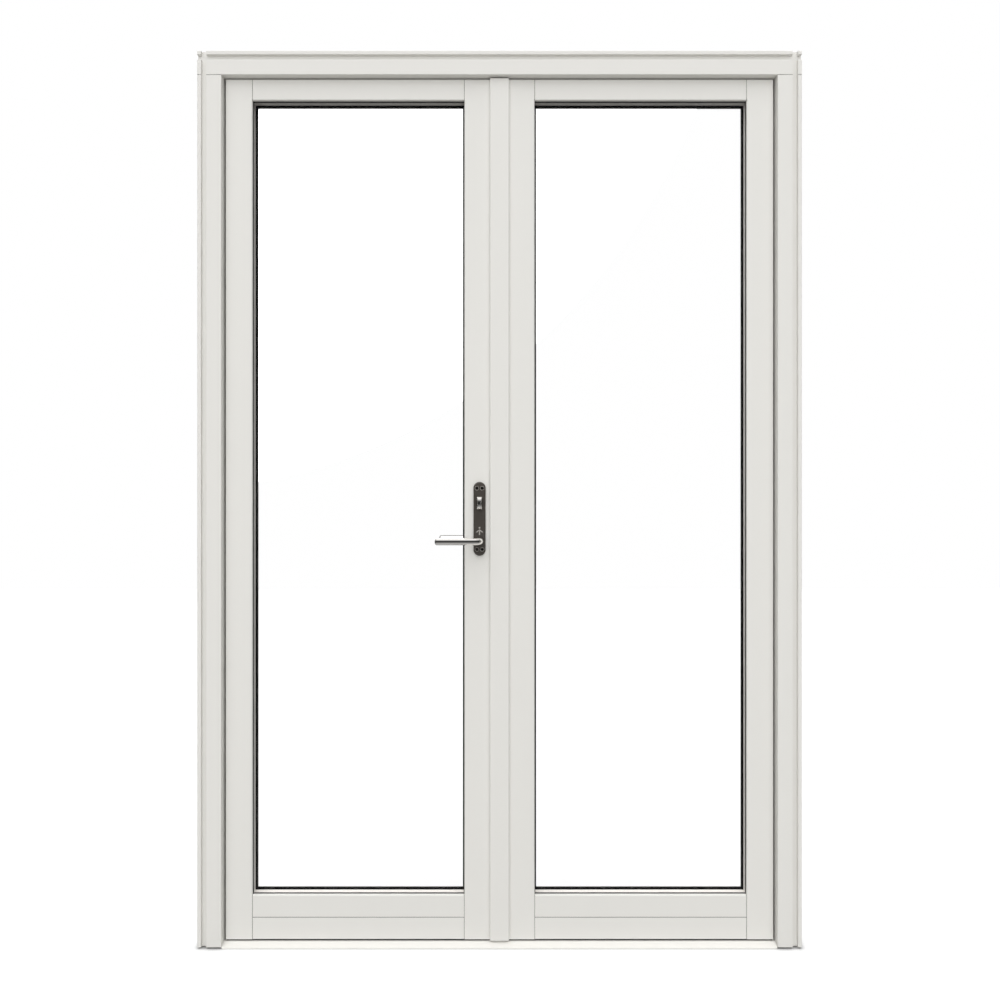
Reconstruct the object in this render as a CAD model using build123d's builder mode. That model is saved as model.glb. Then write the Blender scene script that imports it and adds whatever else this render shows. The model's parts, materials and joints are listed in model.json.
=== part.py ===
from build123d import *
import os

os.makedirs("parts", exist_ok=True)

# Double outward-opening glazed door in its frame. X runs along the wall, Y from the room (minus) to the
# outside (plus) and Z up. The origin is the middle of the sill's underside. All lengths are in millimetres.

# Frame
frame_width = 1400
frame_height = 2080
frame_depth = 92
jamb_width = 56
head_height = 55.5
stop_depth = 58  # from the room face to the stop that the leaves close on
stop_width = 13
frame_arris = 2
small_arris = 0.8
groove_land = 9
groove_width = 12
groove_depth = 8.5
fixing_radius = 7
fixing_from_back = 17
fixing_low = 120  # two of the four holes in each jamb, up from the floor
fixing_inner_low = 700
fixing_high_down = 130  # the other two, down from the frame's top
fixing_inner_high_down = 750
frame_screw_length = 110
sill_screw_length = 55
frame_screw_head = 6
frame_screw_shank = 3
screw_spread = 38  # between the two screws of a frame corner

# Sill
sill_height = 9.5
sill_nose = 3
sill_step = 3.4  # top of the outer part, just outside the stop
sill_drip = 2  # top of the outer part, at its edge
sill_base = 4.4  # the jambs stand on this
sill_base_setback = 16
sill_nose_cut = 2.5
sill_end_gap = 0.5

# Leaves
leaf_setback = 20
side_gap = 4.5
top_gap = 3.5
bottom_gap = 4.5
seal_gap = 4
bottom_lip = 7
stile_width = 62.3
top_rail_height = 48
bottom_rail_height = 52.5
kick_height = 51
leaf_arris = 2
opening_arris = 3
joint_line = 1.4  # depth of the V where two pieces of wood meet
meeting_half = 19.7  # from the middle to each meeting stile's edge
meeting_lip_half = 2
leaf_lips_top_gap = 4.5

# Glazing, from the room outwards
glazing_land = 8
glazing_rebate = 16
gasket = 4
pane = 4
cavity = 16
glass_bite = 12
spacer_width = 6.5
spacer_corner = 1
inner_gasket_proud = 1.2
outer_gasket_proud = 5
outer_gasket_bite = 8
bead_splay = 13
mitre_gap = 0.2
block_length = 100

# Meeting post, cover strips and seals
post_edge = 14
strip_half = 22.3
strip_thick = 8
strip_gap = 0.4
outer_strip_bite = 18
outer_strip_reach = 12
seal_width = 7
seal_clearance = 0.3
seal_edge = 1
sill_seal_width = 8
sill_seal_clearance = 0.4
sill_seal_end = 2
sill_seal_from_lock = 10  # towards the room, clear of the flush bolt

# Hinges
low_hinge_up = 226  # from the leaf's bottom
high_hinge_down = 221  # from the leaf's top
hinge_inset = 7
hinge_standoff = 8.5
knuckle_radius = 8
hinge_height = 100
knuckle_gap = 1
hinge_plate = 3
hinge_plate_width = 35
hinge_web_lift = 0.5
pin_radius = 4.5
pin_clearance = 0.05
pin_inset = 4
hinge_screw_head = 4.5
hinge_screw_shank = 2.5
hinge_screw_length = 35
hinge_screw_spread = 36

# Lock and handles
handle_x = -46.5
lever_height = 944.5
turn_above_lever = 88
plate_above_lever = 51.2  # the plates' middle
plate_width = 28
plate_length = 172
plate_thick = 8
plate_bevel = 2.9
plate_end_flat = 0.01  # straight length left between a plate's rounded corners, each side
plate_screw_across = 6.1
plate_screw_up = 71.15
plate_screw_head = 4.75
plate_screw_shank = 2
plate_screw_length = 18
cross_width = 1.1
cross_length = 5.4
cross_depth = 1.4
lever_radius = 8.35
lever_reach = 101.5
lever_projection = 50
lever_bend = 15
lever_seat = 3
lever_clearance = 0.25
spindle_side = 8
spindle_bite = 14
socket_clearance = 0.05
turn_width = 15
turn_length = 32.5
turn_neck = 8.5
turn_thick = 13
turn_lift = 1
turn_boss = 6.5
turn_corner = 1.5
turn_waist = 6
turn_arris = 1
tail_side = 5
lock_y = -7
case_back = 60
case_below_lever = 44.5
case_above_turn = 42.5
case_thick = 18
case_wall = 2
follower_radius = 8
follower_cam = 10
follower_cam_thick = 10
face_thick = 2.5
face_width = 18
face_beyond_bolt = 80  # the faceplate's ends, past the middle of the outer bolts
low_bolt_up = 406  # from the leaf's bottom
middle_bolt_above_lever = 43.5
high_bolt_down = 421  # from the leaf's top
bolt_across = 12
bolt_tall = 20
dead_bolt_tall = 16
bolt_length = 23.5
bolt_recess = 0.3
bolt_travel = 14
bolt_chamfer = 1.5
dead_bolt_chamfer = 1
bolt_clearance = 0.3
rod_width = 10
rod_thick = 3
rod_travel = 18
rod_end_gap = 1
keep_margin = 25
keep_pocket = 1

# Flush bolts in the meeting post
flush_radius = 5
flush_clearance = 0.1
flush_length = 180
flush_travel_up = 15
flush_travel_down = 12
flush_middle = 13  # from the post's edge to the bolt
slide_width = 8
slide_tall = 16
slide_from_end = 155
flush_plate_margin = 18
flush_keep_clearance = 0.4
head_keep_length = 60
head_keep_width = 24
head_keep_thick = 2
flush_pocket_end = 2

fit = 0.1  # screws in their holes

# Places worked out from the sizes
front = -frame_depth / 2
back = frame_depth / 2
stop = front + stop_depth
outer = frame_width / 2
reveal = outer - jamb_width
recess = reveal + stop_width
head_underside = frame_height - head_height
recess_top = head_underside + stop_width
leaf_front = front + leaf_setback
leaf_back = back
leaf_edge = reveal - side_gap
leaf_top = head_underside - top_gap
leaf_bottom = sill_height + bottom_gap
lip_face = stop + seal_gap
lip_edge = recess - side_gap
lip_top = recess_top - leaf_lips_top_gap
lip_bottom = leaf_bottom - bottom_lip
kick_top = leaf_bottom + kick_height
sight_bottom = kick_top + bottom_rail_height
sight_top = leaf_top - top_rail_height
rebate_face = leaf_front + glazing_land
inner_pane = rebate_face + gasket
outer_pane = inner_pane + pane + cavity
bead_face = outer_pane + pane + gasket
floor_bottom = sight_bottom - glazing_rebate
floor_top = sight_top + glazing_rebate
hinge_axis = recess - hinge_inset
hinge_y = back + hinge_standoff
low_hinge = leaf_bottom + low_hinge_up
high_hinge = leaf_top - high_hinge_down
hinge_heights = (low_hinge, (low_hinge + high_hinge) / 2, high_hinge)
frame_screw_x = (outer + recess) / 2
frame_screw_y = (lock_y, lock_y + screw_spread)
fixing_y = back - fixing_from_back
fixing_high = frame_height - fixing_high_down
fixing_inner_high = frame_height - fixing_inner_high_down
sill_seal_y = lock_y - sill_seal_from_lock
turn_height = lever_height + turn_above_lever
plate_middle = lever_height + plate_above_lever
case_low = lever_height - case_below_lever
case_high = turn_height + case_above_turn
bolt_heights = (leaf_bottom + low_bolt_up, lever_height + middle_bolt_above_lever, leaf_top - high_bolt_down)
face_low = bolt_heights[0] - face_beyond_bolt
face_high = bolt_heights[-1] + face_beyond_bolt
plate_front = leaf_front - plate_thick
plate_back = leaf_back + plate_thick
face_inner = -meeting_half - face_thick
bolt_front = -meeting_half - bolt_recess
flush_x = -post_edge + flush_middle


def spans(axis, low, high):
    """A sketch plane square to one axis, and the length to extrude from it to fill low to high."""
    plane = {"X": Plane.YZ.offset(low), "Y": Plane.XZ.offset(-high), "Z": Plane.XY.offset(low)}[axis]
    return plane, high - low


def block(x, y, z, mode=Mode.ADD):
    """A square-edged block between two places on each axis."""
    with Locations(((x[0] + x[1]) / 2, (y[0] + y[1]) / 2, (z[0] + z[1]) / 2)):
        Box(abs(x[1] - x[0]), abs(y[1] - y[0]), abs(z[1] - z[0]), mode=mode)


def round_bar(axis, middle, radius, low, high, mode=Mode.ADD):
    """A round bar along an axis, or a hole where the mode subtracts."""
    plane, length = spans(axis, low, high)
    with BuildSketch(plane) as disc:
        with Locations(middle):
            Circle(radius)
    extrude(disc.sketch, amount=length, mode=mode)


def profile_bar(axis, outline, low, high, rounds=(), mode=Mode.ADD):
    """A straight length of one outline. Each of rounds is a corner's number and its radius."""
    plane, length = spans(axis, low, high)
    with BuildSketch(plane) as section:
        with BuildLine():
            Polyline(*outline, close=True)
        make_face()
        for corner, radius in rounds:
            fillet(section.vertices().sort_by_distance(Vector(*outline[corner]))[0], radius)
    extrude(section.sketch, amount=length, mode=mode)


def screw(place, direction, head_radius, shank_radius, length, mode=Mode.ADD):
    """A countersunk screw from the middle of its head inwards, or its hole where the mode subtracts."""
    slack = fit if mode == Mode.SUBTRACT else 0
    seat = Plane(origin=place, z_dir=direction)
    with BuildSketch(seat) as head:
        Circle(head_radius + slack)
    with BuildSketch(seat) as shank:
        Circle(shank_radius + slack)
    extrude(head.sketch, amount=head_radius - shank_radius, taper=45, mode=mode)
    extrude(shank.sketch, amount=length + slack, mode=mode)


def write(piece, node):
    """Labels a finished piece and writes its file."""
    piece.part.label = node
    export_step(piece.part, f"parts/{node}.step")


def mirrored(side, low, high):
    """The two places on X at these distances from the middle, on one side, lowest first."""
    return sorted((side * low, side * high))


# Frame

def corner_screws(mode=Mode.ADD):
    for side in (-1, 1):
        for y in frame_screw_y:
            top = (side * frame_screw_x, y, frame_height)
            screw(top, (0, 0, -1), frame_screw_head, frame_screw_shank, frame_screw_length, mode)


def sill_screws(mode=Mode.ADD):
    for side in (-1, 1):
        for y in frame_screw_y:
            foot = (side * frame_screw_x, y, 0)
            screw(foot, (0, 0, 1), frame_screw_head, frame_screw_shank, sill_screw_length, mode)


def hinge_screws(side, distance, mode=Mode.ADD):
    """Three screws in a column at each hinge, this far from its axis towards the leaf (minus) or jamb."""
    for height in hinge_heights:
        for step in (-1, 0, 1):
            place = (side * (hinge_axis + distance), back + hinge_plate, height + step * hinge_screw_spread)
            screw(place, (0, -1, 0), hinge_screw_head, hinge_screw_shank, hinge_screw_length, mode)


screw_column = hinge_inset + hinge_plate_width / 2


def jamb(side, node):
    groove_outer = outer - groove_land
    groove_inner = groove_outer - groove_width
    outline = [
        (side * outer, front),
        (side * groove_outer, front),
        (side * groove_outer, front + groove_depth),
        (side * groove_inner, front + groove_depth),
        (side * groove_inner, front),
        (side * reveal, front),
        (side * reveal, stop),
        (side * recess, stop),
        (side * recess, back),
        (side * outer, back),
    ]
    rounds = [(0, frame_arris), (1, small_arris), (4, small_arris), (5, frame_arris), (6, small_arris)]
    rounds += [(8, frame_arris), (9, frame_arris)]
    with BuildPart() as post:
        profile_bar("Z", outline, sill_base, head_underside, rounds)
        block(mirrored(side, recess, outer), (stop, back), (head_underside, recess_top))
        # Half of the V at the joint with the head
        joint = head_underside
        wedge = [(front, joint), (front, joint - joint_line), (front + joint_line, joint)]
        profile_bar("X", wedge, *mirrored(side, reveal, outer), mode=Mode.SUBTRACT)
        for height in (fixing_low, fixing_inner_low, fixing_inner_high, fixing_high):
            through = mirrored(side, recess - 1, outer + 1)
            round_bar("X", (fixing_y, height), fixing_radius, *through, Mode.SUBTRACT)
        corner_screws(Mode.SUBTRACT)
        sill_screws(Mode.SUBTRACT)
        hinge_screws(side, screw_column, Mode.SUBTRACT)
    write(post, node)


def head():
    groove_top = frame_height - groove_land
    groove_low = groove_top - groove_width
    outline = [
        (front, frame_height),
        (front, groove_top),
        (front + groove_depth, groove_top),
        (front + groove_depth, groove_low),
        (front, groove_low),
        (front, head_underside),
        (stop, head_underside),
        (stop, recess_top),
        (back, recess_top),
        (back, frame_height),
    ]
    rounds = [(0, frame_arris), (1, small_arris), (4, small_arris), (5, joint_line), (6, small_arris)]
    rounds += [(8, small_arris), (9, frame_arris)]
    groove_outer = outer - groove_land
    with BuildPart() as lintel:
        profile_bar("X", outline, -outer, outer, rounds)
        for side in (-1, 1):
            groove = mirrored(side, groove_outer - groove_width, groove_outer)
            up = (head_underside - 1, frame_height + 1)
            block(groove, (front - 1, front + groove_depth), up, Mode.SUBTRACT)
        corner_screws(Mode.SUBTRACT)
        block(*head_keep_space(), Mode.SUBTRACT)
        hole_top = leaf_top + flush_travel_up + flush_pocket_end
        hole_radius = flush_radius + flush_keep_clearance
        round_bar("Z", (flush_x, lock_y), hole_radius, head_underside, hole_top, Mode.SUBTRACT)
    write(lintel, "frame_head")


def head_keep_space():
    across = (flush_x - head_keep_length / 2, flush_x + head_keep_length / 2)
    deep = (lock_y - head_keep_width / 2, lock_y + head_keep_width / 2)
    return across, deep, (head_underside, head_underside + head_keep_thick)


def head_keep():
    with BuildPart() as keep:
        block(*head_keep_space())
        low, high = head_keep_space()[2]
        hole_radius = flush_radius + flush_keep_clearance
        round_bar("Z", (flush_x, lock_y), hole_radius, low - 1, high + 1, Mode.SUBTRACT)
    write(keep, "head_keep")


def sill():
    inner_end = reveal - sill_end_gap
    base_front = front + sill_base_setback
    inner_outline = [
        (front, 0),
        (front, sill_nose),
        (leaf_front, sill_height),
        (stop, sill_height),
        (stop, 0),
    ]
    outer_outline = [(stop, 0), (stop, sill_step), (back, sill_drip), (back, 0)]
    with BuildPart() as threshold:
        profile_bar("X", inner_outline, -inner_end, inner_end, [(1, small_arris), (3, small_arris)])
        profile_bar("X", outer_outline, -recess, recess)
        for side in (-1, 1):
            block(mirrored(side, inner_end, outer), (base_front, stop), (0, sill_base))
            block(mirrored(side, recess, outer), (stop, back), (0, sill_base))
            cut_start = side * (inner_end - sill_nose_cut)
            corner = [(side * inner_end, 0), (cut_start, 0), (side * inner_end, sill_nose_cut)]
            profile_bar("Y", corner, front, base_front, mode=Mode.SUBTRACT)
        sill_screws(Mode.SUBTRACT)
        pocket_low = leaf_bottom - flush_travel_down - flush_pocket_end / 2
        pocket_radius = flush_radius + flush_keep_clearance
        round_bar("Z", (flush_x, lock_y), pocket_radius, pocket_low, sill_height, Mode.SUBTRACT)
    write(threshold, "sill")


def frame_screws():
    with BuildPart() as screws:
        corner_screws()
        sill_screws()
        for side in (-1, 1):
            hinge_screws(side, screw_column)
    write(screws, "frame_screws")


def frame_seals():
    """Three lengths on the stop, rounded where the leaves press on them."""
    seal_outer = reveal + seal_edge + seal_width
    depth = (stop, lip_face - seal_clearance)
    with BuildPart() as seals:
        for side in (-1, 1):
            near, far = side * (reveal + seal_edge), side * seal_outer
            outline = [(near, depth[0]), (near, depth[1]), (far, depth[1]), (far, depth[0])]
            rounds = [(1, seal_width / 3), (2, seal_width / 3)]
            profile_bar("Z", outline, sill_height, head_underside + seal_edge - mitre_gap, rounds)
        low = head_underside + seal_edge
        high = low + seal_width
        outline = [(depth[0], low), (depth[1], low), (depth[1], high), (depth[0], high)]
        profile_bar("X", outline, -seal_outer, seal_outer, [(1, seal_width / 3), (2, seal_width / 3)])
    write(seals, "frame_seals")


# Hinges

def knuckle(side, low, high):
    round_bar("Z", (side * hinge_axis, hinge_y), knuckle_radius, low, high)


def hinge_half(side, height, towards, low, high):
    """A plate and its knuckle. The plate lies on the jamb (towards +1) or on the leaf (towards -1)."""
    near = hinge_axis + towards * hinge_inset
    far = near + towards * hinge_plate_width
    half = hinge_height / 2
    block(mirrored(side, near, far), (back, back + hinge_plate), (height - half, height + half))
    block(mirrored(side, hinge_axis, near), (back + hinge_web_lift, back + hinge_plate), (low, high))
    knuckle(side, low, high)


def frame_hinges():
    with BuildPart() as halves:
        for side in (-1, 1):
            for height in hinge_heights:
                low = height - hinge_height / 2
                hinge_half(side, height, 1, low, height - knuckle_gap / 2)
                place = (side * hinge_axis, hinge_y)
                round_bar("Z", place, pin_radius, low + pin_inset, height, Mode.SUBTRACT)
            hinge_screws(side, screw_column, Mode.SUBTRACT)
    write(halves, "frame_hinges")


def hinge_pins():
    with BuildPart() as pins:
        for side in (-1, 1):
            for height in hinge_heights:
                reach = hinge_height / 2 - pin_inset
                place = (side * hinge_axis, hinge_y)
                round_bar("Z", place, pin_radius, height - reach, height + reach - pin_inset)
    write(pins, "hinge_pins")


def leaf_hinges(side, node):
    with BuildPart() as halves:
        for height in hinge_heights:
            high = height + hinge_height / 2
            hinge_half(side, height, -1, height + knuckle_gap / 2, high)
            place = (side * hinge_axis, hinge_y)
            round_bar("Z", place, pin_radius + pin_clearance, height, high - pin_inset, Mode.SUBTRACT)
        hinge_screws(side, -screw_column, Mode.SUBTRACT)
    write(halves, node)


def screws_of_leaf_hinges(side, node):
    with BuildPart() as screws:
        hinge_screws(side, -screw_column)
    write(screws, node)


# Leaves

def stile_body(edge, inward, lip):
    """A stile from its outer edge inwards: the room part, and behind it the wider part with the lip."""
    sight = edge + inward * stile_width
    floor = sight - inward * glazing_rebate
    inner_outline = [
        (edge, leaf_front),
        (sight, leaf_front),
        (sight, rebate_face),
        (floor, rebate_face),
        (floor, lip_face),
        (edge, lip_face),
    ]
    profile_bar("Z", inner_outline, leaf_bottom, leaf_top, [(0, leaf_arris), (1, joint_line)])
    lip_side = edge - inward * lip
    outer_outline = [(lip_side, lip_face), (floor, lip_face), (floor, leaf_back), (lip_side, leaf_back)]
    profile_bar("Z", outer_outline, lip_bottom, lip_top, [(0, small_arris), (3, leaf_arris)])
    # The rounded arris runs only along the glazed opening
    across = sorted((sight, sight - inward * opening_arris))
    block(across, (leaf_front, leaf_front + opening_arris), (sight_bottom, sight_top), Mode.SUBTRACT)
    middle = (sight - inward * opening_arris, leaf_front + opening_arris)
    round_bar("Z", middle, opening_arris, sight_bottom, sight_top)


def hinge_stile(side, node):
    with BuildPart() as stile:
        stile_body(side * leaf_edge, -side, lip_edge - leaf_edge)
        hinge_screws(side, -screw_column, Mode.SUBTRACT)
    write(stile, node)


def sight_across(side):
    return mirrored(side, meeting_half + stile_width, leaf_edge - stile_width)


def floor_across(side):
    low, high = sight_across(side)
    return low - glazing_rebate, high + glazing_rebate


def rail_face(side, low, high):
    """The room face of a rail, between the stiles' sight edges."""
    block(sight_across(side), (leaf_front, rebate_face), (low, high))


def line_joints(rail, sight_end):
    """V lines at a rail's joints, and the rounded arris on its edge along the glass, where it has one."""
    edges = rail.faces().sort_by(Axis.Y)[0].edges().sort_by(Axis.Z)
    if sight_end == "top":
        fillet(edges[-1], opening_arris)
    if sight_end == "bottom":
        fillet(edges[0], opening_arris)
    edges = rail.faces().sort_by(Axis.Y)[0].edges().sort_by(Axis.Z)
    chamfer(edges[1:-1], joint_line)
    if sight_end != "bottom":
        chamfer(rail.faces().sort_by(Axis.Y)[0].edges().sort_by(Axis.Z)[0], joint_line)
    if sight_end == "none":
        chamfer(rail.faces().sort_by(Axis.Y)[0].edges().sort_by(Axis.Z)[-1], joint_line)


def top_rail(side, node):
    with BuildPart() as rail:
        rail_face(side, sight_top, leaf_top)
        line_joints(rail, "bottom")
        block(floor_across(side), (rebate_face, lip_face), (floor_top, leaf_top))
        block(floor_across(side), (lip_face, leaf_back), (floor_top, lip_top))
    write(rail, node)


def bottom_rail(side, node):
    with BuildPart() as rail:
        rail_face(side, kick_top, sight_bottom)
        line_joints(rail, "top")
        block(floor_across(side), (rebate_face, leaf_back), (kick_top, floor_bottom))
    write(rail, node)


def kick_board(side, node):
    with BuildPart() as board:
        rail_face(side, leaf_bottom, kick_top)
        line_joints(board, "none")
        block(floor_across(side), (rebate_face, lip_face), (leaf_bottom, kick_top))
        block(floor_across(side), (lip_face, leaf_back), (lip_bottom, kick_top))
    write(board, node)


def glazing_ring(side, outset, inset, y):
    """A ring round the sight opening, from outset beyond its edge to inset inside it."""
    low, high = sight_across(side)
    block((low - outset, high + outset), y, (sight_bottom - outset, sight_top + outset))
    opening = (low + inset, high - inset), y, (sight_bottom + inset, sight_top - inset)
    block(*opening, Mode.SUBTRACT)


def glass_pane(side, y, node):
    low, high = sight_across(side)
    with BuildPart() as glass:
        up = (sight_bottom - glass_bite, sight_top + glass_bite)
        block((low - glass_bite, high + glass_bite), (y, y + pane), up)
    write(glass, node)


def spacer(side, node):
    with BuildPart() as ring:
        glazing_ring(side, spacer_width, 0, (inner_pane + pane, outer_pane))
        fillet(ring.edges().filter_by(Axis.Y), spacer_corner)
    write(ring, node)


def inner_gasket(side, node):
    with BuildPart() as ring:
        glazing_ring(side, glass_bite, inner_gasket_proud, (rebate_face, inner_pane))
    write(ring, node)


def outer_gasket(side, node):
    with BuildPart() as ring:
        glazing_ring(side, outer_gasket_bite, outer_gasket_proud, (outer_pane + pane, bead_face))
    write(ring, node)


def mitre_slots(x, z, reach, y):
    """Hairline mitres at a ring's four corners, so that its lengths are separate."""
    half = mitre_gap / 2
    for corner_x, run_x in ((x[0], 1), (x[1], -1)):
        for corner_z, run_z in ((z[0], 1), (z[1], -1)):
            slot = [
                (corner_x - run_x - half, corner_z - run_z + half),
                (corner_x - run_x + half, corner_z - run_z - half),
                (corner_x + run_x * reach + half, corner_z + run_z * reach - half),
                (corner_x + run_x * reach - half, corner_z + run_z * reach + half),
            ]
            if run_x != run_z:
                slot = [
                    (corner_x - run_x - half, corner_z - run_z - half),
                    (corner_x - run_x + half, corner_z - run_z + half),
                    (corner_x + run_x * reach + half, corner_z + run_z * reach + half),
                    (corner_x + run_x * reach - half, corner_z + run_z * reach - half),
                ]
            profile_bar("Y", slot, *y, mode=Mode.SUBTRACT)


def glazing_beads(side, node):
    """Four mitred beads that hold the glass from outside, splayed towards it."""
    low, high = sight_across(side)
    across = (high - low, sight_top - sight_bottom)
    middle = ((low + high) / 2, (sight_bottom + sight_top) / 2)
    with BuildPart() as beads:
        block(floor_across(side), (bead_face, leaf_back), (floor_bottom, floor_top))
        with BuildSketch(Plane.XZ.offset(-bead_face)) as near:
            with Locations(middle):
                Rectangle(across[0] - 2 * outer_gasket_proud, across[1] - 2 * outer_gasket_proud)
        grown = 2 * (bead_splay - outer_gasket_proud)
        with BuildSketch(Plane.XZ.offset(-leaf_back)) as far:
            with Locations(middle):
                Rectangle(across[0] + grown, across[1] + grown)
        loft(mode=Mode.SUBTRACT)
        reach = glazing_rebate + outer_gasket_proud + 1
        mitre_slots(floor_across(side), (floor_bottom, floor_top), reach, (bead_face - 1, leaf_back + 1))
    write(beads, node)


def glazing_blocks(side, node):
    """Packers between the glass and its rebate: two under it and two at each edge."""
    low, high = sight_across(side)
    floor = floor_across(side)
    deep = (inner_pane, outer_pane + pane)
    quarter = (high - low) / 4
    with BuildPart() as packers:
        for x in (low + quarter, high - quarter):
            up = (floor_bottom, sight_bottom - glass_bite)
            block((x - block_length / 2, x + block_length / 2), deep, up)
        for z in (sight_bottom + block_length, sight_top - block_length):
            up = (z - block_length / 2, z + block_length / 2)
            block((floor[0], low - glass_bite), deep, up)
            block((high + glass_bite, floor[1]), deep, up)
    write(packers, node)


def bottom_seal(side, node):
    inner_edge = meeting_half if side < 0 else -post_edge
    across = mirrored(side, inner_edge + sill_seal_end, leaf_edge - sill_seal_end)
    deep = (sill_seal_y - sill_seal_width / 2, sill_seal_y + sill_seal_width / 2)
    with BuildPart() as seal:
        block(across, deep, (sill_height + sill_seal_clearance, leaf_bottom))
    write(seal, node)


# Lock, in the active leaf's meeting stile

def window(middle_z, tall, x, mode=Mode.SUBTRACT):
    """An opening for a bolt, in a plate or in the wood."""
    half_wide = bolt_across / 2 + bolt_clearance
    half_tall = tall / 2 + bolt_clearance
    up = (middle_z - half_tall, middle_z + half_tall)
    block(sorted(x), (lock_y - half_wide, lock_y + half_wide), up, mode)


def face_plate_space(low, high, x, mode=Mode.ADD, slack=0):
    """A long plate with rounded ends, let into an edge."""
    plane, length = spans("X", *sorted(x))
    with BuildSketch(plane) as outline:
        with Locations((lock_y, (low + high) / 2)):
            RectangleRounded(face_width + 2 * slack, high - low + 2 * slack, face_width / 2 - small_arris)
    extrude(outline.sketch, amount=length, mode=mode)


def plate_screws(face, inward, mode=Mode.ADD):
    for across in (-1, 1):
        for up in (-1, 1):
            place = (handle_x + across * plate_screw_across, face, plate_middle + up * plate_screw_up)
            screw(place, (0, inward, 0), plate_screw_head, plate_screw_shank, plate_screw_length, mode)


def case_space():
    deep = (lock_y - case_thick / 2, lock_y + case_thick / 2)
    return (-case_back, face_inner), deep, (case_low, case_high)


def rod_lengths():
    """The two drive rods, each clear of the bolt above or below it over its travel."""
    low_bolt = bolt_heights[0] + bolt_tall / 2
    high_bolt = bolt_heights[-1] - bolt_tall / 2
    return [
        (low_bolt + rod_end_gap, case_low - rod_end_gap - rod_travel),
        (case_high + rod_end_gap, high_bolt - rod_end_gap - rod_travel),
    ]


def meeting_stile_active():
    with BuildPart() as stile:
        stile_body(-meeting_half, -1, meeting_half - meeting_lip_half)
        face_plate_space(face_low, face_high, (face_inner, 0), Mode.SUBTRACT, fit)
        block(*case_space(), Mode.SUBTRACT)
        back_end = bolt_front - bolt_length - bolt_clearance
        for height in (bolt_heights[0], bolt_heights[-1]):
            window(height, bolt_tall, (back_end, face_inner))
        half = rod_width / 2 + bolt_clearance
        for low, high in rod_lengths():
            up = (low - rod_end_gap, high + rod_travel + rod_end_gap)
            across = (face_inner - rod_thick - 2 * bolt_clearance, face_inner)
            block(across, (lock_y - half, lock_y + half), up, Mode.SUBTRACT)
        through = (leaf_front - 1, leaf_back + 1)
        round_bar("Y", (handle_x, lever_height), lever_radius + lever_clearance, *through, Mode.SUBTRACT)
        turn_hole = turn_boss + lever_clearance
        round_bar("Y", (handle_x, turn_height), turn_hole, leaf_front - 1, lock_y, Mode.SUBTRACT)
        plate_screws(plate_front, 1, Mode.SUBTRACT)
        plate_screws(plate_back, -1, Mode.SUBTRACT)
    write(stile, "active_meeting_stile")


def meeting_stile_passive():
    """Plain, because the meeting post beside it holds the keeps and the flush bolts."""
    with BuildPart() as stile:
        stile_body(meeting_half, 1, meeting_half - meeting_lip_half)
    write(stile, "passive_meeting_stile")


def lock_faceplate():
    with BuildPart() as plate:
        face_plate_space(face_low, face_high, (face_inner, -meeting_half))
        for height in bolt_heights:
            window(height, bolt_tall, (face_inner - 1, 0))
        window(turn_height, dead_bolt_tall, (face_inner - 1, 0))
    write(plate, "lock_faceplate")


def lock_case():
    x, y, z = case_space()
    with BuildPart() as case:
        block(x, y, z)
        walls = case_wall
        cavity_space = (x[0] + walls, x[1] - walls), (y[0] + walls, y[1] - walls), (z[0] + walls, z[1] - walls)
        block(*cavity_space, Mode.SUBTRACT)
        window(bolt_heights[1], bolt_tall, (x[1] - walls - 1, x[1] + 1))
        window(turn_height, dead_bolt_tall, (x[1] - walls - 1, x[1] + 1))
        hole = follower_radius + socket_clearance
        round_bar("Y", (handle_x, lever_height), hole, y[0] - 1, y[1] + 1, Mode.SUBTRACT)
        round_bar("Y", (handle_x, turn_height), tail_side, y[0] - 1, y[1] + 1, Mode.SUBTRACT)
    write(case, "lock_case")


def square(axis_place, side, y, mode=Mode.ADD):
    x, z = axis_place
    block((x - side / 2, x + side / 2), y, (z - side / 2, z + side / 2), mode)


def follower():
    y = case_space()[1]
    with BuildPart() as hub:
        round_bar("Y", (handle_x, lever_height), follower_radius, *y)
        half = follower_cam_thick / 2
        round_bar("Y", (handle_x, lever_height), follower_cam, lock_y - half, lock_y + half)
        hole = spindle_side + 2 * socket_clearance
        square((handle_x, lever_height), hole, (y[0] - 1, y[1] + 1), Mode.SUBTRACT)
    write(hub, "follower")


def lever_ends(outwards):
    """Where a lever's neck starts in its plate, and where its bar runs. Outwards is -1 in the room."""
    face = plate_front if outwards < 0 else plate_back
    leaf_face = leaf_front if outwards < 0 else leaf_back
    return face - outwards * lever_seat, leaf_face + outwards * lever_projection


def lever(outwards, node):
    root, bar_y = lever_ends(outwards)
    tip_x = handle_x - lever_reach + lever_radius
    with BuildPart() as handle:
        with BuildLine() as path:
            places = [(handle_x, root, lever_height), (handle_x, bar_y, lever_height), (tip_x, bar_y, lever_height)]
            FilletPolyline(*places, radius=lever_bend)
        with BuildSketch(Plane(origin=path.line @ 0, z_dir=path.line % 0)):
            Circle(lever_radius)
        sweep()
        with Locations((tip_x, bar_y, lever_height)):
            Sphere(lever_radius)
        socket = sorted((root, root + outwards * (spindle_bite + socket_clearance)))
        square((handle_x, lever_height), spindle_side + 2 * socket_clearance, socket, Mode.SUBTRACT)
    write(handle, node)


def spindle():
    ends = [lever_ends(outwards)[0] + outwards * spindle_bite for outwards in (-1, 1)]
    with BuildPart() as bar:
        square((handle_x, lever_height), spindle_side, ends)
    write(bar, "spindle")


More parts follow.
